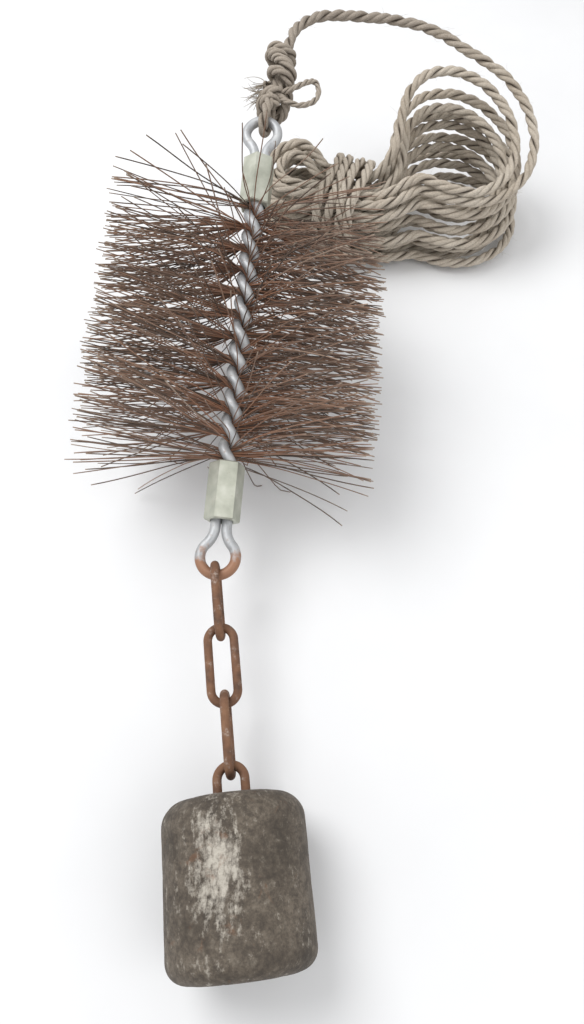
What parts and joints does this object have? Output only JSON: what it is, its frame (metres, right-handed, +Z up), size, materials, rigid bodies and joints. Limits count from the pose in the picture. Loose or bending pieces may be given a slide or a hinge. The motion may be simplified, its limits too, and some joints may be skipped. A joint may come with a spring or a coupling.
{
  "type": "chimney sweep brush",
  "caption": "Round wire flue brush on a twisted stem, with a hand line tied to its upper eye and a cast weight hung on a short chain from its lower eye.",
  "frame": {"origin": "on the table under the middle of the brush, chain and weight, the rope left out", "axes": "+Y from the weight towards the rope end, along the object's length; +Z up; +X to the right seen from the weight"},
  "size_m": [0.3397, 0.6236, 0.1975],
  "materials": {
    "galvanised_wire": "dull zinc, worn",
    "zinc_sleeve": "pale yellowish zinc, lightly scratched",
    "bristle_steel": "rusty brown spring steel",
    "chain_steel": "rusty brown, worn at the bends",
    "cast_iron": "rough, brown-black, pitted",
    "rope_fibre": "three-strand natural fibre rope"
  },
  "bodies": {
    "brush": {"stem_wire_a": "galvanised_wire", "stem_wire_b": "galvanised_wire", "bristle_row_01": "bristle_steel", "bristle_row_02": "bristle_steel", "bristle_row_03": "bristle_steel", "bristle_row_04": "bristle_steel", "bristle_row_05": "bristle_steel", "bristle_row_06": "bristle_steel", "bristle_row_07": "bristle_steel", "bristle_row_08": "bristle_steel", "bristle_row_09": "bristle_steel", "bristle_row_10": "bristle_steel", "bristle_row_11": "bristle_steel", "lower_hex_sleeve": "zinc_sleeve", "upper_hex_sleeve": "zinc_sleeve", "lower_eye": "galvanised_wire", "upper_eye": "galvanised_wire", "rope_knot": "rope_fibre", "rope_run": "rope_fibre", "rope_coil": "rope_fibre", "coil_binding": "rope_fibre"},
    "link_1": {"chain_link_1": "chain_steel"},
    "link_2": {"chain_link_2": "chain_steel"},
    "link_3": {"chain_link_3": "chain_steel"},
    "weight": {"weight": "cast_iron", "weight_staple": "chain_steel"}
  },
  "joints": [
    {"name": "link_1_swing", "type": "hinge", "parent": "brush", "child": "link_1", "pos_m": [-0.0235, -0.0497, 0.0483], "axis": [0.9991, 0.0419, 0], "range_deg": [-65, 65]},
    {"name": "link_2_swing", "type": "hinge", "parent": "link_1", "child": "link_2", "pos_m": [-0.02196, -0.08648, 0.04457], "axis": [0.0042, -0.1008, 0.9949], "range_deg": [-50, 50]},
    {"name": "link_3_swing", "type": "hinge", "parent": "link_2", "child": "link_3", "pos_m": [-0.02039, -0.12395, 0.04077], "axis": [0.9991, 0.0419, 0], "range_deg": [-30, 30]},
    {"name": "weight_swing", "type": "hinge", "parent": "link_3", "child": "weight", "pos_m": [-0.01882, -0.16143, 0.03697], "axis": [0.0042, -0.1008, 0.9949], "range_deg": [-45, 45]}
  ]
}
